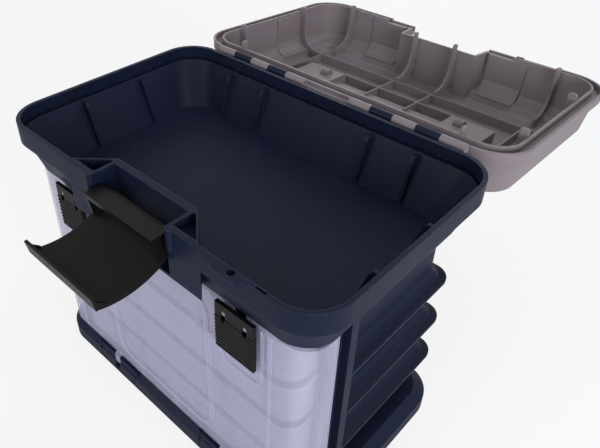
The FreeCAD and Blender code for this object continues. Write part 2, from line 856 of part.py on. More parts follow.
def panel_outline(wall, side, reach):
    """Side view of a low panel that follows the lid's wall into its top."""
    rise = [
        (-0.7, lid_shoulder - 8),
        (-0.7, lid_rest + 0.2),
        (reach, lid_rest + 0.2),
        (reach, lid_shoulder - 18),
        (reach + 4, lid_shoulder - 9),
        (reach + 11, lid_shoulder - 3.5),
        (reach + 20, lid_shoulder - 1.8),
        (17, lid_shoulder - 0.8),
        (5, lid_shoulder - 1.2),
    ]
    return [(wall - side * as_size(inward), level) for inward, level in rise]


def make_lid_fins(body):
    """Curved fins that centre the lid in the bin, and the low panels between them."""
    half = d.lid_rib_thickness / 2 + 0.5
    reach, relief = d.lid_fin_reach, d.lid_fin_relief
    tip = lid_edge - d.lid_fin_drop
    side_wall = room_width / 2
    for place in (-d.lid_fin_front, -d.lid_fin_back):
        for side in SIDES:
            outline = fin_outline(side * side_wall, side, relief, reach, tip)
            slab(body, "XZ_Plane", place - half, place + half, outline)
    front_wall = -hinge_y - room_depth / 2
    back_wall = -hinge_y + room_depth / 2
    bump_wall = lid_notch_y + d.lid_wall + 0.5
    walls = ((d.lid_fin_outer, front_wall, -1, relief), (d.lid_fin_inner, bump_wall, -1, relief + 2),
             (d.lid_fin_outer - 3, back_wall, 1, relief))
    for place, wall, side, foot in walls:
        for middle in (-place, place):
            slab(body, "YZ_Plane", middle - half, middle + half, fin_outline(wall, side, foot, reach, tip))
    for side in SIDES:
        span = ordered(side, d.lid_panel_inner, d.lid_panel_outer)
        slab(body, "YZ_Plane", span[0], span[1], panel_outline(front_wall, -1, as_size(4)))
        panel = panel_outline(side * side_wall, side, as_size(2))
        slab(body, "XZ_Plane", -d.lid_fin_front, -d.lid_fin_front + 55, panel)


handle_y = -d.handle_place
handle_recess_front = handle_y - d.handle_bar / 2 - 4
handle_recess_back = handle_y + d.handle_arm + d.handle_bar / 2 + 6
handle_floor = lid_top - d.handle_recess_depth
handle_z = handle_floor + d.running_gap + d.handle_thickness / 2


def make_lid_handle_seat(body):
    """The shallow recess in the lid's pad where the handle lies, with a pod at each pivot."""
    half = d.handle_span / 2 + 3
    wall = d.lid_wall
    pod_low = handle_floor - wall - 7
    brick(body, (-half - wall, half + wall), (handle_recess_front - wall, handle_recess_back + wall),
          (handle_floor - wall, lid_ceiling + 1))
    for side in SIDES:
        brick(body, ordered(side, d.pod_inner, d.pod_outer), (handle_y - 26, handle_y + 12),
              (pod_low, lid_ceiling + 1))
        low, high = ordered(side, d.pod_inner + 14, d.pod_inner + 26)
        round_bar(body, "X", (handle_y - 8, pod_low), 7, low, high)
    brick(body, (-half, half), (handle_recess_front, handle_recess_back), (handle_floor, lid_top + 1),
          removes=True)
    for side in SIDES:
        brick(body, ordered(side, half - d.handle_bar - 4, half), (handle_y - 7, handle_y + 7),
              (handle_floor - 2.6, handle_floor + 1), removes=True)
    reach = half + 8
    round_bar(body, "X", (handle_y, handle_z), d.handle_pin_radius, -reach, reach, removes=True)


def make_lid_knuckles(body):
    """The lid's half of the hinge, and the thin bar that joins its two sides."""
    back = lid_depth / 2 - hinge_y
    for low, high in knuckle_spans((0, 2, 4)):
        web = [
            (back - 2, lid_rest),
            (as_size(0), lid_rest),
            (as_size(0), d.knuckle_radius),
            (back - 2, d.knuckle_radius + 2),
        ]
        slab(body, "YZ_Plane", low, high, web)
        round_bar(body, "X", (as_size(0), as_size(0)), d.knuckle_radius, low, high)
    bar = d.knuckle_first + 1
    brick(body, (-bar, bar), (back - 1, as_size(2)), (lid_rest + 1.5, d.knuckle_radius - 1))
    for side in SIDES:
        span = ordered(side, knuckle_edges[0] - 1, knuckle_edges[5] + 1)
        round_bar(body, "X", (as_size(0), as_size(0)), d.hinge_pin_radius + d.pin_clearance, *span, removes=True)


def make_lid_eye(body):
    """The drilled flange that lies on the bin's padlock eye."""
    half = d.eye_length / 2
    front = rim_front - d.eye_reach - hinge_y
    low, high = d.eye_place - half, d.eye_place + half
    brick(body, (low, high), (front, lid_front_y + 2), (lid_rest, lid_rest + d.eye_thickness))
    bore_y = rim_front - d.eye_reach + d.eye_bore + 2 - hinge_y
    brick(body, (low - 1, high + 1), (lid_front_y - 1, lid_front_y + d.lid_overhang + 3), (lid_edge - 1, lid_rest),
          removes=True)
    round_bar(body, "Z", (d.eye_place + 3, bore_y), d.eye_bore, lid_rest - 1, lid_rest + d.eye_thickness + 1,
              removes=True)
    brick(body, (low + 1, high - 1), (lid_front_y + 1, bore_y + d.eye_bore + 1),
          (lid_rest + d.eye_thickness, lid_rest + d.eye_thickness + 5), removes=True)


def make_hinge_pins():
    """Two steel pins that the lid turns on."""
    rods = []
    inner, outer = knuckle_edges[0] + 1, knuckle_edges[5] - 1
    for side, low, high in (("left", -outer, -inner), ("right", inner, outer)):
        rods.append(plain_rod("hinge_rod_" + side, "X", (hinge_y, hinge_z), d.hinge_pin_radius, low, high))
    return group("lid_hinge_pins", rods)


def make_handle():
    """The folding carrying handle: two arms and a bar with cut corners."""
    body = Moulding("handle")
    half = d.handle_span / 2
    bar = d.handle_bar
    low, high = handle_z - d.handle_thickness / 2, handle_z + d.handle_thickness / 2
    bar_y = handle_y + d.handle_arm
    root = handle_y - bar / 2 + 1
    inner = half - bar
    slab(body, "XY_Plane", low, high, [
        (-half, root), (-inner, root), (-inner, bar_y - bar / 2 - 4), (-inner + 5, bar_y - bar / 2),
        (inner - 5, bar_y - bar / 2), (inner, bar_y - bar / 2 - 4), (inner, root), (half, root),
        (half, bar_y - 4), (half - 9, bar_y + bar / 2), (-half + 9, bar_y + bar / 2), (-half, bar_y - 4),
    ])
    round_bar(body, "X", (handle_y, handle_z), d.handle_pin_radius + d.pin_clearance, -half - 1, half + 1,
              removes=True)
    return body.finish(lid_pose())


def make_handle_pins():
    """The two pins that carry the handle, pressed into the lid."""
    rods = []
    half = d.handle_span / 2
    for side in SIDES:
        low, high = ordered(side, half - d.handle_bar + 1, half + 9)
        rods.append(plain_rod("handle_rod", "X", (handle_y, handle_z), d.handle_pin_radius, low, high))
    pins = group("handle_pins", rods)
    bind_pose(pins)
    return pins


def latch_pose():
    """Placement of the front latch: its own frame is at the pivot and its plate lies level."""
    return (f"placement(vector(0; {pivot_y.text}; {pivot_z.text}); "
            f"rotation(vector(1; 0; 0); {d.latch_open_droop.text}))")


def make_front_latch():
    """The black latch: a bowed plate with an upturned lip, and an open trough between two cheeks at its root."""
    body = Moulding("front_latch")
    half = d.latch_width / 2
    plate = d.latch_plate
    root_y, root_z = -d.latch_root_inset, -d.latch_root_drop
    tip_y = root_y - d.latch_reach
    chord = d.latch_reach / 2
    bow = d.latch_bow
    radius = (chord * chord + bow * bow) / (2 * bow)
    top, under = root_z + plate / 2, root_z - plate / 2
    slab(body, "YZ_Plane", -half, half, [(root_y, top), (tip_y, top), (tip_y, under), (root_y, under)],
         arcs={0: (radius, -1), 2: (radius + plate, 1)})
    slab(body, "YZ_Plane", -half, half, [
        (tip_y - plate + 1, under), (tip_y + 1, under), (tip_y + 1, root_z + d.latch_lip - plate),
        (tip_y - plate + 1, root_z + d.latch_lip - plate),
    ])
    for side in SIDES:
        span = ordered(side, half - 3, half)
        slab(body, "YZ_Plane", span[0], span[1], [(tip_y, under), (tip_y + 9, under), (tip_y, top + 8)])
    block = half - 2.5
    reach, rise = d.latch_trough_reach, d.latch_trough_top
    slab(body, "YZ_Plane", -block, block, [
        (-reach, rise), (-reach, rise - 6), (-reach + 2.6, rise - 6), (-reach + 4, rise - 3.6), (-5, rise - 6.2),
        (-3.6, rise - 3.2), (-reach + 4, rise - 0.6),
    ])
    slab(body, "YZ_Plane", -block, block, [
        (-3.6, rise - 3.2), (-6.2, rise - 4.4), (-5.6, 0), (root_y - 3, under + 1.2), (root_y + 1.5, under + 1.2),
        (2, -4),
    ])
    round_bar(body, "X", (as_size(0), as_size(0)), 4.6, -block, block)
    sag = bow * 0.72
    for side in SIDES:
        span = ordered(side, block - d.latch_cheek, block)
        slab(body, "YZ_Plane", span[0], span[1], [
            (-reach, rise), (-reach, root_z - sag - 1), (root_y - 8, root_z - sag / 2 - 1), (root_y, under + 0.6),
            (2, -4), (3, 3), (-3.6, rise - 3.2),
        ])
    round_bar(body, "X", (as_size(0), as_size(0)), d.latch_pin_radius + d.pin_clearance, -half - 1, half + 1,
              removes=True)
    return body.finish(latch_pose())


def make_front_latch_pin():
    """The steel pin of the front latch, pressed into the walls of the recess."""
    reach = d.recess_half + d.recess_side - 0.5
    pin = plain_rod("front_latch_pin", "X", (pivot_y, pivot_z), d.latch_pin_radius, -reach, reach)
    pin.Label = "front_latch_pin"
    return pin


def make_cabinet():
    """The U-shaped cabinet wall: two sides and the back with coved ledges and tray runners."""
    body = Moulding("cabinet")
    wall = d.cabinet_wall
    width, back = d.cabinet_width, d.cabinet_back
    depth = 2 * back
    radius = d.cabinet_radius
    low, high = deck, bin_under
    rounded_slab(body, low, high, width, depth, radius)
    ledge_width, ledge_depth = width + 2 * d.ledge_reach, depth + 2 * d.ledge_reach
    ledge_radius = radius + d.ledge_reach - 7
    for count in range(1, TRAYS):
        edge = deck + d.tray_pitch * count - d.ledge_drop
        third = d.ledge_reach / 3
        stack(body, [
            (edge, ledge_width, ledge_depth, ledge_radius),
            (edge + d.ledge_edge, ledge_width, ledge_depth, ledge_radius),
            (edge + d.ledge_edge + d.ledge_cove * 0.2, ledge_width - 3 * third, ledge_depth - 3 * third,
             ledge_radius - third),
            (edge + d.ledge_edge + d.ledge_cove * 0.5, ledge_width - 5 * third, ledge_depth - 5 * third,
             ledge_radius - third * 2),
            (edge + d.ledge_edge + d.ledge_cove, width - 1, depth - 1, radius),
        ])
    rounded_slab(body, low - 1, high + 1, width - 2 * wall, depth - 2 * wall, radius - wall, removes=True)
    wide = width / 2 + d.ledge_reach + 1
    brick(body, (-wide, wide), (-ledge_depth, -d.cabinet_front), (low - 1, high + 1), removes=True)
    column_top = skirt_bottom - d.running_gap
    outside = d.door_width / 2
    strip = outside - 9
    rise_inner = outside - 5.5
    for side in SIDES:
        brick(body, ordered(side, width / 2, wide), (-ledge_depth, -d.column_front), (low - 1, high + 1),
              removes=True)
    for side in SIDES:
        brick(body, ordered(side, width / 2 - 1, outside), (-d.column_front, -d.column_back), (low, high))
        brick(body, ordered(side, rise_inner, outside), (-d.column_front, -d.column_back), (low, column_top))
        brick(body, ordered(side, width / 2 - 1, strip), (-d.cabinet_front, -d.column_front + 1), (low, high))
    make_runners(body)
    tongue = d.tongue_length / 2
    brick(body, (-tongue, tongue), (back - wall, back), (deck - d.base_wall, deck + 1))
    for side in SIDES:
        round_bar(body, "Z", (side * screw_x, screw_y), d.screw_radius, deck - 1, deck + d.screw_grip, removes=True)
    return body.finish()


def ordered(side, near, far):
    """Limits in X of something that lies between near and far on the left or right side."""
    return (near, far) if side > 0 else (-far, -near)


def make_runners(body):
    """Runners inside the cabinet that the upper trays slide on."""
    inner = d.cabinet_width / 2 - d.cabinet_wall
    for count in range(1, TRAYS):
        top = deck + d.tray_pitch * count
        for side in SIDES:
            span = ordered(side, inner - d.runner_reach, inner + 1)
            brick(body, span, (-d.cabinet_front + 2, d.cabinet_back - d.cabinet_wall - 4),
                  (top - d.runner_thickness, top))


def make_base():
    """The navy base: a shallow shell with ribs under its deck and bays for the door's hinges."""
    body = Moulding("base")
    wall = d.base_wall
    width, depth, radius = d.base_width, d.base_depth, d.base_radius
    chamfer = d.base_foot_chamfer
    stack(body, [
        (as_size(0), width - 2 * chamfer, depth - 2 * chamfer, radius - chamfer),
        (chamfer, width, depth, radius),
        (d.base_side, width, depth, radius),
        (deck, width - 2 * d.base_slope, depth - 2 * d.base_slope, radius - d.base_slope / 2),
    ])
    stack(body, [
        (as_size(-1), width - 2 * wall - 2 * chamfer, depth - 2 * wall - 2 * chamfer, radius - wall - chamfer),
        (d.base_side - wall, width - 2 * wall - 2 * chamfer, depth - 2 * wall - 2 * chamfer, radius - wall - chamfer),
        (deck - wall, width - 2 * d.base_slope - 2 * wall, depth - 2 * d.base_slope - 2 * wall,
         radius - wall - d.base_slope / 2),
    ], removes=True)
    half = d.base_rib / 2
    reach_x, reach_y = d.base_width / 2 - d.base_slope, d.base_depth / 2 - d.base_slope
    for count in range(-2, 3):
        place = d.base_rib_pitch * count
        brick(body, (-reach_x, reach_x), (place - half, place + half), (as_size(0), deck - wall + 1))
    for count in range(-4, 5):
        place = d.base_rib_pitch * count
        brick(body, (place - half, place + half), (-reach_y, reach_y), (as_size(0), deck - wall + 1))
    front = -d.base_depth / 2
    bay_back = front + 2 * d.door_axis_inset + 6
    axis_z = d.door_axis_height
    bay = d.hinge_bay_half
    slot = d.door_arm_width / 2 + 1
    for side in SIDES:
        middle = side * d.door_arm_place
        brick(body, (middle - bay - wall, middle + bay + wall), (front + wall - 1, bay_back + wall),
              (axis_z - 10 - wall, deck))
    for side in SIDES:
        middle = side * d.door_arm_place
        brick(body, (middle - slot, middle + slot), (front - 1, bay_back), (axis_z - 10, deck + 1), removes=True)
        for edge in (-bay, bay - 1.5):
            brick(body, (middle + edge, middle + edge + 1.5), (front - 1, front + 4), (axis_z - 12, deck + 1),
                  removes=True)
        brick(body, (middle - bay, middle + bay), (front - 1, front + 2.5), (axis_z - 12, axis_z - 10.5),
              removes=True)
        reach = d.hinge_pin_half
        round_bar(body, "X", (door_axis_y, axis_z), d.door_pin_radius, middle - reach, middle + reach,
                  removes=True)
    tongue = d.tongue_length / 2 + d.seat_gap
    brick(body, (-tongue, tongue), (d.cabinet_back - d.cabinet_wall - d.seat_gap, d.cabinet_back + d.seat_gap),
          (deck - wall - 1, deck + 1), removes=True)
    for side in SIDES:
        round_bar(body, "Z", (side * screw_x, screw_y), d.screw_radius, deck - wall - 1, deck + 1, removes=True)
    return body.finish()


def make_base_screws():
    """Two screws driven up through the base into the cabinet's columns."""
    under = deck - d.base_wall
    screws = []
    for side in SIDES:
        head = plain_rod("screw_head", "Z", (side * screw_x, screw_y), d.screw_head_radius,
                         under - d.screw_head_height, under)
        shank = plain_rod("screw_shank", "Z", (side * screw_x, screw_y), d.screw_radius,
                          under - 1, deck + d.screw_grip - 1)
        screws.append(joined("screw", [head, shank]))
    return group("base_screws", screws)


def make_door():
    """The clear front door with its wrapped sides, raised frame, clip windows and hinge arms."""
    body = Moulding("front_door")
    wall = d.door_wall
    low, high = door_bottom, door_top
    width, depth, radius = d.door_width, 2 * d.door_half_depth, d.door_radius
    rounded_slab(body, low, high, width, depth, radius)
    rounded_slab(body, low - 1, high + 1, width - 2 * wall, depth - 2 * wall, radius - wall, removes=True)
    wide = width / 2 + 1
    brick(body, (-wide, wide), (-d.cabinet_front - d.running_gap, depth), (low - 1, high + 1), removes=True)
    half, rib = d.door_frame_half, d.door_frame_rib
    raised = door_front - d.door_frame_raise
    points, arcs = rounded_frame(-half, half, low + 20, high - 14, d.door_frame_radius)
    slab(body, "XZ_Plane", raised, door_front + 0.5, points, arcs=arcs)
    points, arcs = rounded_frame(-half + rib, half - rib, low + 20 + rib, high - 14 - rib,
                                 d.door_frame_radius - rib)
    slab(body, "XZ_Plane", raised - 1, door_front, points, arcs=arcs, removes=True)
    make_door_latch_seats(body)
    make_door_arms(body)
    return body.finish()


latch_low = skirt_bottom - d.running_gap - d.door_latch_height
latch_high = skirt_bottom - d.running_gap
plate_back = door_front - 4.3 + 0.3
plate_front = plate_back - d.door_latch_thickness
notch_low = latch_high - 17


def rounded_frame(left, right, low, high, radius):
    """Corners of an upright rounded rectangle, and the arcs that round them."""
    points = [
        (left + radius, low), (right - radius, low), (right, low + radius), (right, high - radius),
        (right - radius, high), (left + radius, high), (left, high - radius), (left, low + radius),
    ]
    return points, {corner: (radius, 1) for corner in (1, 3, 5, 7)}


def make_door_latch_seats(body):
    """The pocket round each latch, the notch behind it, the clips that hold it and the ribs beside it."""
    ridge = door_front - 1.5
    for side in SIDES:
        middle = side * d.door_latch_place
        half = d.pocket_half
        points, arcs = rounded_frame(middle - half, middle + half, latch_low - 26, door_top - 1, as_size(12))
        slab(body, "XZ_Plane", ridge, door_front + 0.5, points, arcs=arcs)
        brick(body, ordered(side, d.door_rib_place, d.door_rib_place + 3), (ridge, door_front + 0.5),
              (door_bottom + 4, door_top - 4))
        points, arcs = rounded_frame(middle - half + 2.5, middle + half - 2.5, latch_low - 23.5, door_top + 20,
                                     as_size(9.5))
        slab(body, "XZ_Plane", ridge - 1, door_front, points, arcs=arcs, removes=True)
        notch = d.door_notch_half
        brick(body, (middle - notch, middle + notch), (door_front - 1, door_front + d.door_wall + 1),
              (notch_low, door_top + 1), removes=True)
    for side in SIDES:
        middle = side * d.door_latch_place
        for place in (-13, 13):
            clip = (middle + place - 2, middle + place + 2)
            brick(body, clip, (plate_front + 0.6, door_front + 0.5), (latch_high - 12, latch_high - 8))


def make_door_arms(body):
    """Two arms that reach down from the door to the pins in the base."""
    gap = d.running_gap
    axis_z = d.door_axis_height
    half = d.door_arm_width / 2
    for side in SIDES:
        low, high = side * d.door_arm_place - half, side * d.door_arm_place + half
        points = [
            (door_axis_y - 3.5, axis_z), (door_axis_y + 3.5, axis_z),
            (door_front + d.door_wall, door_bottom + 1), (door_front, door_bottom + 3),
            (door_axis_y - 3.5, deck + gap),
        ]
        slab(body, "YZ_Plane", low, high, points)
        round_bar(body, "X", (door_axis_y, axis_z), d.door_pin_radius + 1.8, low, high)
    reach = d.door_arm_place + half + 1
    round_bar(body, "X", (door_axis_y, axis_z), d.door_pin_radius + d.pin_clearance, -reach, reach,
              removes=True)


def make_door_pins():
    """One steel pin across each hinge slot of the base."""
    rods = []
    for side in SIDES:
        low, high = side * d.door_arm_place - d.hinge_pin_half, side * d.door_arm_place + d.hinge_pin_half
        rods.append(plain_rod("door_rod", "X", (door_axis_y, d.door_axis_height), d.door_pin_radius, low, high))
    return group("door_hinge_pins", rods)


def make_door_latch(name, side):
    """A ribbed black slide: its groove rises over the skirt's edge to hold the door shut."""
    body = Moulding(name)
    middle = side * d.door_latch_place
    half = d.door_latch_width / 2
    tongue = half - 6
    front, back = plate_front, plate_back
    inside = door_front + d.door_wall + d.running_gap
    hook = inside + d.door_latch_hook
    neck_half = d.door_notch_half - d.running_gap
    brick(body, (middle - half, middle + half), (front, back), (latch_low, latch_high))
    neck = (notch_low + d.running_gap, notch_low + 6)
    brick(body, (middle - neck_half, middle + neck_half), (back - 1, hook), neck)
    brick(body, (middle - tongue, middle + tongue), (inside, hook), (neck[0], latch_high - 3.5))
    step = (d.door_latch_height - 16) / d.latch_ridges
    for count in range(int(DIMENSIONS["latch_ridges"])):
        base = latch_low + 1 + step * count
        points = [(front + 0.5, base), (front + 0.5, base + step * 0.8), (front - 1, base + step * 0.6),
                  (front - 1, base + step * 0.2)]
        slab(body, "YZ_Plane", middle - half, middle + half, points)
    for place in (-13, 13):
        brick(body, (middle + place - 2.5, middle + place + 2.5), (front - 2, back + 1),
              (latch_high - 12.5 - d.door_latch_travel, latch_high - 7.5), removes=True)
    return body.finish()


def make_tray_tub():
    """The clear tub of the lowest tray: three rows, with slots for cross dividers in the rear two."""
    tub = Moulding("tray_1")
    wall = d.tray_wall
    middle = (0, tray_middle)
    rounded_slab(tub, as_size(0), d.tray_height, d.tray_width, d.tray_depth, d.tray_radius, centre=middle)
    rounded_slab(tub, wall, d.tray_height + 1, d.tray_width - 2 * wall, d.tray_depth - 2 * wall,
                 d.tray_radius - wall, centre=middle, removes=True)
    reach = d.tray_width / 2 - wall / 2
    for row in (1, 2):
        low = tray_rows[row][0]
        brick(tub, (-reach, reach), (low - wall, low), (wall / 2, d.tray_height))
    half = d.divider_thickness / 2 + d.seat_gap
    for row in (1, 2):
        low, high = tray_rows[row]
        for place in divider_places():
            for span in ((low - 0.2, low + 1.2), (high - 1.2, high + 0.2)):
                for across in ((place - half - 1, place - half), (place + half, place + half + 1)):
                    brick(tub, across, span, (wall - 0.5, d.tray_height - 6))
    return tub.finish()


def divider_places():
    """Places in X of the slots for cross dividers."""
    return [d.divider_pitch * count for count in (-2, -1, 0, 1, 2)]


def make_tray_lid():
    """The clear flat lid of the lowest tray."""
    lid = Moulding("tray_1_lid")
    low = d.tray_height + tray_lid_gap
    rounded_slab(lid, low, low + d.tray_lid, d.tray_width, d.tray_depth, d.tray_radius,
                 centre=(0, tray_middle))
    return lid.finish()


def make_tray_catches():
    """Two snap catches on the front of the lowest tray."""
    catches = []
    front = tray_front - tray_lid_gap
    for side in SIDES:
        middle = side * d.tray_width / 4
        catches.append(plain_box(f"catch_{side + 1}", (middle - 11, middle + 11), (front - 2.2, front),
                                 (d.tray_height - 13, d.tray_height + d.tray_lid)))
    return group("tray_1_catches", catches)


def make_tray_dividers():
    """Loose cross dividers in the rear rows of the lowest tray."""
    dividers = []
    half = d.divider_thickness / 2
    for row in (1, 2):
        low, high = tray_rows[row]
        for number, place in enumerate((-d.divider_pitch, d.divider_pitch)):
            dividers.append(plain_box(f"divider_{row}_{number}", (place - half, place + half),
                                      (low + d.seat_gap, high - d.seat_gap),
                                      (d.tray_wall + d.seat_gap / 2, d.tray_height - 1)))
    return group("tray_1_dividers", dividers)


tray_middle = as_size(-4)
tray_front = tray_middle - d.tray_depth / 2
tray_lid_gap = d.seat_gap / 10
row_depth = (d.tray_depth - 4 * d.tray_wall) / 3
tray_rows = []
for row in range(3):
    row_low = tray_front + d.tray_wall + (row_depth + d.tray_wall) * row
    tray_rows.append((row_low, row_low + row_depth))


def make_trays():
    """Four like trays, each with its lid, catches and dividers, one above the other."""
    first = [make_tray_tub(), make_tray_lid(), make_tray_catches(), make_tray_dividers()]
    for piece in first:
        bind(piece, "Placement.Base.z", deck + d.seat_gap)
    trays = list(first)
    for number in range(2, TRAYS + 1):
        for piece in first:
            copy = group(piece.Label.replace("tray_1", f"tray_{number}"), [piece])
            bind(copy, "Placement.Base.z", d.tray_pitch * (number - 1))
            trays.append(copy)
    return trays


parts = [make_bin(), make_lid(), make_hinge_pins(), make_handle(), make_handle_pins(), make_front_latch(),
         make_front_latch_pin(), make_cabinet(), make_base(), make_base_screws(), make_door(), make_door_pins(),
         make_door_latch("door_latch_left", -1), make_door_latch("door_latch_right", 1)] + make_trays()
for item in doc.Objects:
    if item.isDerivedFrom("PartDesign::Feature") and item.TypeId != "PartDesign::Body":
        item.Refine = item.getParentGeoFeatureGroup().Tip == item
doc.recompute()


def check_document():
    """Stop if any object failed or a cut removed nothing."""
    for item in doc.Objects:
        if "Invalid" in item.State or "Error" in item.State:
            raise RuntimeError(f"{item.Label} failed: {item.State}")
    for item in doc.Objects:
        if item.TypeId in ("PartDesign::Pocket", "PartDesign::SubtractiveLoft"):
            before = item.BaseFeature.Shape.Volume
        elif item.TypeId == "Part::Cut":
            before = item.Base.Shape.Volume
        else:
            continue
        if before - item.Shape.Volume < 0.01:
            raise RuntimeError(f"{item.Label} cuts nothing")


def write_parts():
    """Check each sub-part's shape and write it under its own name."""
    os.makedirs("parts", exist_ok=True)
    for item in parts:
        if item.Shape.isNull() or not item.Shape.isValid():
            raise RuntimeError(f"{item.Label} has no valid shape")
        print(item.Label, len(item.Shape.Solids), round(item.Shape.Volume / 1000, 1))
        item.Shape.exportStep(f"parts/{item.Label}.step")


check_document()
write_parts()
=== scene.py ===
"""Looks of a moulded fishing seat box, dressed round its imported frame.

Metres. +X is the box's right, +Y its back, +Z up, and the origin is the middle of the base's underside.
"""

from __future__ import annotations

import json
import logging
from dataclasses import dataclass, field
from enum import Enum
from typing import Any

import bpy
from mathutils import Matrix, Vector

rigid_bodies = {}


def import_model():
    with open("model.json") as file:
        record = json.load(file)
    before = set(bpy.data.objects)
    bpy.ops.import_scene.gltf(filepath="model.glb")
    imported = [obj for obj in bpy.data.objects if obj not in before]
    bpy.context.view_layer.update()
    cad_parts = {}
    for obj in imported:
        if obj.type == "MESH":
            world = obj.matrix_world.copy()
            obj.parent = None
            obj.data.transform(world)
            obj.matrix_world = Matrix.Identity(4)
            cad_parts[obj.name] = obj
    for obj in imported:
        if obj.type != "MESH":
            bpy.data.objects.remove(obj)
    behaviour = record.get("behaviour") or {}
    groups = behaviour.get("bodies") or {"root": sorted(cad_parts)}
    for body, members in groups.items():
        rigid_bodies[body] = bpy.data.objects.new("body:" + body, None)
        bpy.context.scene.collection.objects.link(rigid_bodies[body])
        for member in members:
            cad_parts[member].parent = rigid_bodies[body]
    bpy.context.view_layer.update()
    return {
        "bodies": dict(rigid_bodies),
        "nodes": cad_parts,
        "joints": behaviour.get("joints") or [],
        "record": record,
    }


log = logging.getLogger("seat_box")

TRAY_COUNT = 4


def linear(hex_colour: str) -> tuple[float, float, float, float]:
    """Turn an sRGB hex colour into linear light.

    Args:
        hex_colour: six hex digits, with or without a leading hash.

    Returns:
        Red, green, blue and an alpha of one.
    """
    digits = hex_colour.lstrip("#")
    parts = [int(digits[place:place + 2], 16) / 255 for place in (0, 2, 4)]
    light = [part / 12.92 if part <= 0.04045 else ((part + 0.055) / 1.055) ** 2.4 for part in parts]
    return light[0], light[1], light[2], 1.0


def per_metre(millimetres: float) -> float:
    """Scale of a pattern whose features are this many millimetres across."""
    return 1000.0 / millimetres


def add_node(
    tree: bpy.types.NodeTree,
    kind: str,
    inputs: dict[Any, Any] | None = None,
    **settings: Any,
) -> Any:
    """Add one shader node with its settings, values and links.

    Args:
        tree: the node tree that takes the node.
        kind: the node's type, such as ShaderNodeMath.
        inputs: sockets by name or number, each given a value or an output to link from.
        settings: the node's own properties.

    Returns:
        The new node.
    """
    made = tree.nodes.new(kind)
    for name, value in settings.items():
        setattr(made, name, value)
    for key, value in (inputs or {}).items():
        socket = made.inputs[key]
        if isinstance(value, bpy.types.NodeSocket):
            tree.links.new(value, socket)
        else:
            socket.default_value = value
    return made


def new_material(name: str) -> tuple[bpy.types.Material, bpy.types.NodeTree]:
    """An empty node material.

    Args:
        name: the finish it stands for.

    Returns:
        The material and its node tree.
    """
    material = bpy.data.materials.new(name)
    material.use_nodes = True
    material.node_tree.nodes.clear()
    return material, material.node_tree


class Flow(Enum):
    """The way moulding flow and handling marks run."""

    ACROSS = (0.12, 1.0, 1.0)
    UPRIGHT = (1.0, 1.0, 0.12)


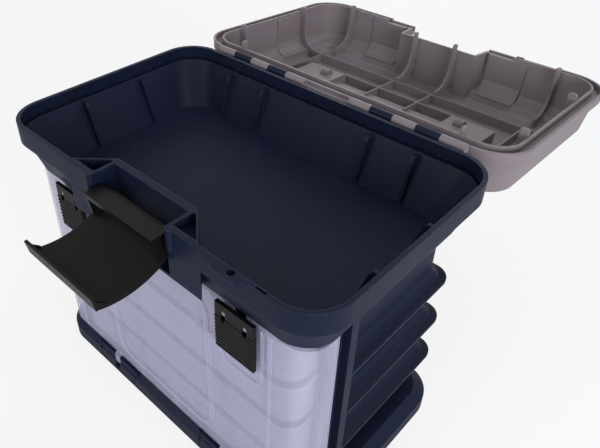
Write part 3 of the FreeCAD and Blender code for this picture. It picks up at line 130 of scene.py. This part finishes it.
@dataclass(frozen=True)
class MouldedPolypropylene:
    """Injection-moulded polypropylene: satin, faintly waxy, with a fine grain, and pale edges that are partly
    scuffs and partly a painted highlight.
    """

    name: str
    colour: str
    shade: str
    # Pale colour of the edges: scuff, and also a painted edge highlight.
    scuff_and_highlight: str
    roughness: float = 0.42
    gloss: float = 0.2
    scuffing_and_highlight: float = 0.5
    grain_mm: float = 1.1
    cloud_mm: float = 70.0
    patch_mm: float = 5.0
    scratch_mm: float = 1.6
    edge_mm: float = 1.0

    def build(self) -> bpy.types.Material:
        """Make the material.

        Returns:
            The finished material.
        """
        material, tree = new_material(self.name)
        place = add_node(tree, "ShaderNodeTexCoord").outputs["Object"]
        # Slow clouds: pigment that is not quite evenly spread.
        cloud = add_node(tree, "ShaderNodeTexNoise",
                         {"Vector": place, "Scale": per_metre(self.cloud_mm), "Detail": 4.0, "Roughness": 0.6})
        base = add_node(tree, "ShaderNodeMix", {"Factor": cloud.outputs["Fac"], "A": linear(self.shade),
                                                "B": linear(self.colour)}, data_type="RGBA")
        # Moulded edges have about a millimetre of radius, and the surface turns there.
        soft = add_node(tree, "ShaderNodeBevel", {"Radius": self.edge_mm / 1000}, samples=4)
        true = add_node(tree, "ShaderNodeNewGeometry").outputs["Normal"]
        turn = add_node(tree, "ShaderNodeVectorMath", {0: soft.outputs["Normal"], 1: true},
                        operation="DOT_PRODUCT")
        # This edge mask carries the pale scuffs and also a painted highlight along the edges.
        edge = add_node(tree, "ShaderNodeMapRange", {"Value": turn.outputs["Value"], "From Min": 0.995,
                                                     "From Max": 0.86, "To Min": 0.0, "To Max": 1.0})
        # The edges are lightened in patches of a few millimetres: partly scuffs, partly a painted highlight along
        # the edges.
        patch = add_node(tree, "ShaderNodeTexNoise", {"Vector": place, "Scale": per_metre(self.patch_mm),
                                                      "Detail": 8.0, "Roughness": 0.75})
        patchy = add_node(tree, "ShaderNodeMapRange", {"Value": patch.outputs["Fac"], "From Min": 0.47,
                                                       "From Max": 0.72, "To Min": 0.0,
                                                       "To Max": self.scuffing_and_highlight})
        worn_and_highlit = add_node(tree, "ShaderNodeMath", {0: edge.outputs["Result"], 1: patchy.outputs["Result"]},
                        operation="MULTIPLY")
        # Long fine scratches from tackle, drawn about 1.6 mm wide so that they show.
        stretch = add_node(tree, "ShaderNodeMapping", {"Vector": place, "Rotation": (0.3, 0.2, 0.6),
                                                       "Scale": (1.0, 0.045, 0.2)})
        hair = add_node(tree, "ShaderNodeTexNoise", {"Vector": stretch.outputs["Vector"],
                                                     "Scale": per_metre(self.scratch_mm),
                                                     "Detail": 2.0, "Roughness": 0.4})
        hairs = add_node(tree, "ShaderNodeMapRange", {"Value": hair.outputs["Fac"], "From Min": 0.72,
                                                      "From Max": 0.8, "To Min": 0.0,
                                                      "To Max": self.scuffing_and_highlight * 0.2})
        marks_and_highlight = add_node(tree, "ShaderNodeMath", {0: worn_and_highlit.outputs["Value"], 1: hairs.outputs["Result"]},
                         operation="MAXIMUM")
        # Mix in the pale colour: scuffs and scratches, and on the edges also a painted highlight.
        colour = add_node(tree, "ShaderNodeMix", {"Factor": marks_and_highlight.outputs["Value"], "A": base.outputs["Result"],
                                                  "B": linear(self.scuff_and_highlight)}, data_type="RGBA")
        grain = add_node(tree, "ShaderNodeTexNoise", {"Vector": place, "Scale": per_metre(self.grain_mm),
                                                      "Detail": 3.0, "Roughness": 0.7})
        rough = add_node(tree, "ShaderNodeMapRange", {"Value": cloud.outputs["Fac"], "From Min": 0.3,
                                                      "From Max": 0.7, "To Min": self.roughness - 0.05,
                                                      "To Max": self.roughness + 0.07})
        bump = add_node(tree, "ShaderNodeBump", {"Strength": 0.22, "Distance": 0.00012,
                                                 "Height": grain.outputs["Fac"],
                                                 "Normal": soft.outputs["Normal"]})
        shader = add_node(tree, "ShaderNodeBsdfPrincipled",
                          {"Base Color": colour.outputs["Result"], "Roughness": rough.outputs["Result"],
                           "IOR": 1.49, "Specular IOR Level": self.gloss, "Normal": bump.outputs["Normal"]})
        add_node(tree, "ShaderNodeOutputMaterial", {"Surface": shader.outputs["BSDF"]})
        return material


@dataclass(frozen=True)
class ClearStyrene:
    """Clear styrene, injection-moulded: see-through with a lilac cast, streaked by its flow and hazed by use."""

    name: str
    colour: str
    streak: str
    body: float
    haze: float
    rim: float = 0.4
    roughness: float = 0.16
    flow: Flow = Flow.UPRIGHT
    streak_mm: float = 16.0
    ripple_mm: float = 9.0
    edge_mm: float = 1.2

    def build(self) -> bpy.types.Material:
        """Make the material.

        Returns:
            The finished material.
        """
        material, tree = new_material(self.name)
        place = add_node(tree, "ShaderNodeTexCoord").outputs["Object"]
        drawn = add_node(tree, "ShaderNodeMapping", {"Vector": place, "Scale": self.flow.value})
        streaks = add_node(tree, "ShaderNodeTexNoise", {"Vector": drawn.outputs["Vector"],
                                                        "Scale": per_metre(self.streak_mm), "Detail": 5.0,
                                                        "Roughness": 0.62})
        tone = add_node(tree, "ShaderNodeMix", {"Factor": streaks.outputs["Fac"], "A": linear(self.streak),
                                                "B": linear(self.colour)}, data_type="RGBA")
        # Edges of clear plastic gather light and look denser than the faces.
        soft = add_node(tree, "ShaderNodeBevel", {"Radius": self.edge_mm / 1000}, samples=4)
        true = add_node(tree, "ShaderNodeNewGeometry").outputs["Normal"]
        turn = add_node(tree, "ShaderNodeVectorMath", {0: soft.outputs["Normal"], 1: true},
                        operation="DOT_PRODUCT")
        edge = add_node(tree, "ShaderNodeMapRange", {"Value": turn.outputs["Value"], "From Min": 0.99,
                                                     "From Max": 0.8, "To Min": 0.0, "To Max": self.rim})
        cloudy = add_node(tree, "ShaderNodeMapRange", {"Value": streaks.outputs["Fac"], "From Min": 0.3,
                                                       "From Max": 0.75, "To Min": self.body,
                                                       "To Max": self.body + self.haze})
        facing = add_node(tree, "ShaderNodeLayerWeight", {"Blend": 0.25})
        glance = add_node(tree, "ShaderNodeMath",
                          {0: facing.outputs["Facing"], 1: 0.3, 2: edge.outputs["Result"]},
                          operation="MULTIPLY_ADD")
        cover = add_node(tree, "ShaderNodeMath", {0: glance.outputs["Value"], 1: cloudy.outputs["Result"]},
                         operation="ADD", use_clamp=True)
        ripple = add_node(tree, "ShaderNodeTexNoise", {"Vector": drawn.outputs["Vector"],
                                                       "Scale": per_metre(self.ripple_mm), "Detail": 2.0})
        bump = add_node(tree, "ShaderNodeBump", {"Strength": 0.15, "Distance": 0.0004,
                                                 "Height": ripple.outputs["Fac"]})
        shader = add_node(tree, "ShaderNodeBsdfPrincipled",
                          {"Base Color": tone.outputs["Result"], "Roughness": self.roughness, "IOR": 1.57,
                           "Alpha": cover.outputs["Value"], "Normal": bump.outputs["Normal"]})
        add_node(tree, "ShaderNodeOutputMaterial", {"Surface": shader.outputs["BSDF"]})
        return material


@dataclass(frozen=True)
class DrawnSteel:
    """Zinc-plated drawn steel wire: dull metal with fine lines along its length."""

    name: str = "drawn_steel_zinc_plated"
    colour: str = "#b4b6ba"
    tarnish: str = "#7d7f84"
    line_mm: float = 0.6

    def build(self) -> bpy.types.Material:
        """Make the material.

        Returns:
            The finished material.
        """
        material, tree = new_material(self.name)
        place = add_node(tree, "ShaderNodeTexCoord").outputs["Object"]
        # Lines run along X, the axis of every pin, and are drawn coarser than the real 0.1 mm.
        drawn = add_node(tree, "ShaderNodeMapping", {"Vector": place, "Scale": (0.02, 1.0, 1.0)})
        lines = add_node(tree, "ShaderNodeTexNoise", {"Vector": drawn.outputs["Vector"],
                                                      "Scale": per_metre(self.line_mm), "Detail": 2.0})
        tone = add_node(tree, "ShaderNodeMix", {"Factor": lines.outputs["Fac"], "A": linear(self.tarnish),
                                                "B": linear(self.colour)}, data_type="RGBA")
        rough = add_node(tree, "ShaderNodeMapRange", {"Value": lines.outputs["Fac"], "To Min": 0.25,
                                                      "To Max": 0.45})
        bump = add_node(tree, "ShaderNodeBump", {"Strength": 0.2, "Distance": 0.00005,
                                                 "Height": lines.outputs["Fac"]})
        shader = add_node(tree, "ShaderNodeBsdfPrincipled",
                          {"Base Color": tone.outputs["Result"], "Metallic": 1.0,
                           "Roughness": rough.outputs["Result"], "Normal": bump.outputs["Normal"]})
        add_node(tree, "ShaderNodeOutputMaterial", {"Surface": shader.outputs["BSDF"]})
        return material


@dataclass(frozen=True)
class Finishes:
    """The finishes of the whole box, each made once."""

    navy: bpy.types.Material
    grey: bpy.types.Material
    black: bpy.types.Material
    door: bpy.types.Material
    tray: bpy.types.Material
    steel: bpy.types.Material

    @staticmethod
    def make() -> Finishes:
        """Make every finish of the box."""
        return Finishes(
            # The navy's pale blue edge colour and its high amount are partly wear and partly a painted edge
            # highlight.
            navy=MouldedPolypropylene("polypropylene_moulded_navy", "#191f35", "#141a2b", "#6d7ba6",
                                      roughness=0.42, gloss=0.09, scuffing_and_highlight=0.75).build(),
            grey=MouldedPolypropylene("polypropylene_moulded_grey", "#867d82", "#7c7378", "#b0a8ad",
                                      roughness=0.48, gloss=0.25, scuffing_and_highlight=0.3).build(),
            black=MouldedPolypropylene("polypropylene_moulded_black", "#121113", "#0d0d0f", "#4d4d55",
                                       roughness=0.36, gloss=0.12, scuffing_and_highlight=0.3).build(),
            door=ClearStyrene("styrene_moulded_clear_lilac", "#cfcbe2", "#b2b3d2", body=0.25, haze=0.07).build(),
            tray=ClearStyrene("styrene_moulded_clear_tray", "#dfe0f0", "#bcc1dc", body=0.38, haze=0.12,
                              rim=0.5, flow=Flow.ACROSS).build(),
            steel=DrawnSteel().build(),
        )


def dress(frame: dict[str, Any], names: tuple[str, ...], material: bpy.types.Material) -> None:
    """Give carried-over nodes a finish.

    Args:
        frame: the loaded frame.
        names: the nodes to dress.
        material: the finish that they take.
    """
    for name in names:
        data = frame["nodes"][name].data
        data.materials.clear()
        data.materials.append(material)
        log.info("dressed %s in %s", name, material.name)


@dataclass
class TopBin:
    """The navy bin that the lid shuts, with the pins of its front latch and its hinge."""

    mouldings: tuple[str, ...] = ("bin",)
    pins: tuple[str, ...] = ("front_latch_pin", "lid_hinge_pins")

    def finish(self, frame: dict[str, Any], finishes: Finishes) -> None:
        """Dress the bin and its pins."""
        dress(frame, self.mouldings, finishes.navy)
        dress(frame, self.pins, finishes.steel)


@dataclass
class Lid:
    """The grey lid that stands open behind, with its carrying handle."""

    mouldings: tuple[str, ...] = ("lid",)
    handle: tuple[str, ...] = ("handle",)
    pins: tuple[str, ...] = ("handle_pins",)

    def finish(self, frame: dict[str, Any], finishes: Finishes) -> None:
        """Dress the lid, the handle and the handle's pins."""
        dress(frame, self.mouldings, finishes.grey)
        dress(frame, self.handle, finishes.black)
        dress(frame, self.pins, finishes.steel)


@dataclass
class Body:
    """The navy cabinet and the base that it stands on."""

    mouldings: tuple[str, ...] = ("cabinet", "base")
    metal: tuple[str, ...] = ("base_screws", "door_hinge_pins")

    def finish(self, frame: dict[str, Any], finishes: Finishes) -> None:
        """Dress the cabinet, the base and their metal."""
        dress(frame, self.mouldings, finishes.navy)
        dress(frame, self.metal, finishes.steel)


@dataclass
class Latches:
    """The big front latch and the two slides that hold the door."""

    mouldings: tuple[str, ...] = ("front_latch", "door_latch_left", "door_latch_right")

    def finish(self, frame: dict[str, Any], finishes: Finishes) -> None:
        """Dress the latches."""
        dress(frame, self.mouldings, finishes.black)


@dataclass
class Door:
    """The clear front door."""

    mouldings: tuple[str, ...] = ("front_door",)

    def finish(self, frame: dict[str, Any], finishes: Finishes) -> None:
        """Dress the door."""
        dress(frame, self.mouldings, finishes.door)


@dataclass
class Trays:
    """The stack of clear trays behind the door."""

    count: int = TRAY_COUNT
    pieces: tuple[str, ...] = ("", "_lid", "_catches", "_dividers")

    def finish(self, frame: dict[str, Any], finishes: Finishes) -> None:
        """Dress every piece of every tray."""
        for number in range(1, self.count + 1):
            dress(frame, tuple(f"tray_{number}{piece}" for piece in self.pieces), finishes.tray)


@dataclass(frozen=True)
class StudioLamp:
    """One soft lamp of the studio."""

    name: str
    place: tuple[float, float, float]
    size: float
    watts: float
    aim: tuple[float, float, float] = (0.0, 0.05, 0.25)

    def build(self) -> None:
        """Hang the lamp and turn it to its aim."""
        data = bpy.data.lights.new(self.name, "AREA")
        data.shape = "DISK"
        data.size = self.size
        data.energy = self.watts
        lamp = bpy.data.objects.new(self.name, data)
        lamp.location = self.place
        lamp.rotation_euler = (Vector(self.aim) - Vector(self.place)).to_track_quat("-Z", "Y").to_euler()
        bpy.context.scene.collection.objects.link(lamp)


@dataclass
class Studio:
    """The pale floor, the soft lamps, the white surround and the camera."""

    floor_half: float = 6.0
    floor_colour: str = "#f4f4f5"
    floor_shade: str = "#f1f1f2"
    floor_mottle_mm: float = 40.0
    floor_glow: float = 0.8
    sky_colour: str = "#e8ebf2"
    sky_strength: float = 0.38
    camera_place: tuple[float, float, float] = (0.39277, -0.38175, 0.67810)
    camera_right: tuple[float, float, float] = (0.7218, 0.6921, 0.0)
    camera_up: tuple[float, float, float] = (-0.4056, 0.4230, 0.8103)
    sensor: float = 36.0
    lens: float = 37.63
    shift: tuple[float, float] = (0.0753, -0.0641)
    lamps: tuple[StudioLamp, ...] = field(default_factory=lambda: (
        StudioLamp("key_lamp", (2.3, -0.7, 0.75), 1.4, 42.0),
        StudioLamp("fill_lamp", (-0.6, -2.2, 1.1), 1.8, 20.0),
        StudioLamp("top_lamp", (0.5, 0.9, 2.3), 1.6, 12.0),
        StudioLamp("back_lamp", (-1.4, 2.4, 0.9), 1.8, 16.0),
    ))

    def build(self) -> None:
        """Set the whole studio up."""
        self.lay_floor()
        self.light()
        self.place_camera()

    def white_for_lookers(self, tree: bpy.types.NodeTree, lit: bpy.types.NodeSocket,
                          white: bpy.types.NodeSocket) -> bpy.types.NodeSocket:
        """Show plain white to the camera, to reflections and through clear plastic.

        Args:
            tree: the node tree.
            lit: the surface or background that lights the object.
            white: the plain white one.

        Returns:
            The mixed shader's output.
        """
        ray = add_node(tree, "ShaderNodeLightPath")
        seen = add_node(tree, "ShaderNodeMath",
                        {0: ray.outputs["Is Camera Ray"], 1: ray.outputs["Is Glossy Ray"]}, operation="MAXIMUM")
        looked = add_node(tree, "ShaderNodeMath",
                          {0: seen.outputs["Value"], 1: ray.outputs["Is Transmission Ray"]},
                          operation="MAXIMUM")
        return add_node(tree, "ShaderNodeMixShader", {0: looked.outputs["Value"], 1: lit,
                                                      2: white}).outputs["Shader"]

    def lay_floor(self) -> None:
        """Lay the pale floor, which keeps the object's shadow."""
        half = self.floor_half
        mesh = bpy.data.meshes.new("floor")
        mesh.from_pydata([(-half, -half, 0), (half, -half, 0), (half, half, 0), (-half, half, 0)], [],
                         [(0, 1, 2, 3)])
        floor = bpy.data.objects.new("floor", mesh)
        bpy.context.scene.collection.objects.link(floor)
        material, tree = new_material("painted_board_matt_white")
        place = add_node(tree, "ShaderNodeTexCoord").outputs["Object"]
        mottle = add_node(tree, "ShaderNodeTexNoise", {"Vector": place, "Scale": per_metre(self.floor_mottle_mm)})
        tone = add_node(tree, "ShaderNodeMix", {"Factor": mottle.outputs["Fac"], "A": linear(self.floor_shade),
                                                "B": linear(self.floor_colour)}, data_type="RGBA")
        paint = add_node(tree, "ShaderNodeBsdfDiffuse", {"Color": tone.outputs["Result"]})
        glow = add_node(tree, "ShaderNodeEmission", {"Color": (1, 1, 1, 1), "Strength": 1.0})
        ray = add_node(tree, "ShaderNodeLightPath")
        share = add_node(tree, "ShaderNodeMath", {0: ray.outputs["Is Camera Ray"], 1: self.floor_glow},
                         operation="MULTIPLY")
        both = add_node(tree, "ShaderNodeMixShader", {0: share.outputs["Value"], 1: paint.outputs["BSDF"],
                                                      2: glow.outputs["Emission"]})
        add_node(tree, "ShaderNodeOutputMaterial", {"Surface": both.outputs["Shader"]})
        mesh.materials.append(material)

    def light(self) -> None:
        """Light the surround and hang the lamps."""
        world = bpy.data.worlds.new("studio")
        bpy.context.scene.world = world
        world.use_nodes = True
        tree = world.node_tree
        tree.nodes.clear()
        lit = add_node(tree, "ShaderNodeBackground", {"Color": linear(self.sky_colour),
                                                    "Strength": self.sky_strength})
        white = add_node(tree, "ShaderNodeBackground", {"Color": (1, 1, 1, 1), "Strength": 1.0})
        surround = self.white_for_lookers(tree, lit.outputs["Background"], white.outputs["Background"])
        add_node(tree, "ShaderNodeOutputWorld", {"Surface": surround})
        for lamp in self.lamps:
            lamp.build()

    def place_camera(self) -> None:
        """Stand the camera where the photograph was taken from."""
        data = bpy.data.cameras.new("camera")
        data.sensor_width = self.sensor
        data.lens = self.lens
        data.shift_x, data.shift_y = self.shift
        data.clip_start = 0.01
        camera = bpy.data.objects.new("camera", data)
        right, up = Vector(self.camera_right).normalized(), Vector(self.camera_up).normalized()
        away = right.cross(up).normalized()
        turn = Matrix((right, up, away)).transposed().to_4x4()
        camera.matrix_world = Matrix.Translation(Vector(self.camera_place)) @ turn
        bpy.context.scene.collection.objects.link(camera)
        bpy.context.scene.camera = camera


def main() -> None:
    """Load the frame, dress it and set the studio up."""
    logging.basicConfig(level=logging.INFO, format="%(message)s")
    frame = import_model()
    finishes = Finishes.make()
    for assembly in (TopBin(), Lid(), Body(), Latches(), Door(), Trays()):
        assembly.finish(frame, finishes)
        log.info("finished %s", type(assembly).__name__)
    Studio().build()
    scene = bpy.context.scene
    scene.view_settings.view_transform = "Standard"


if __name__ == "__main__":
    main()
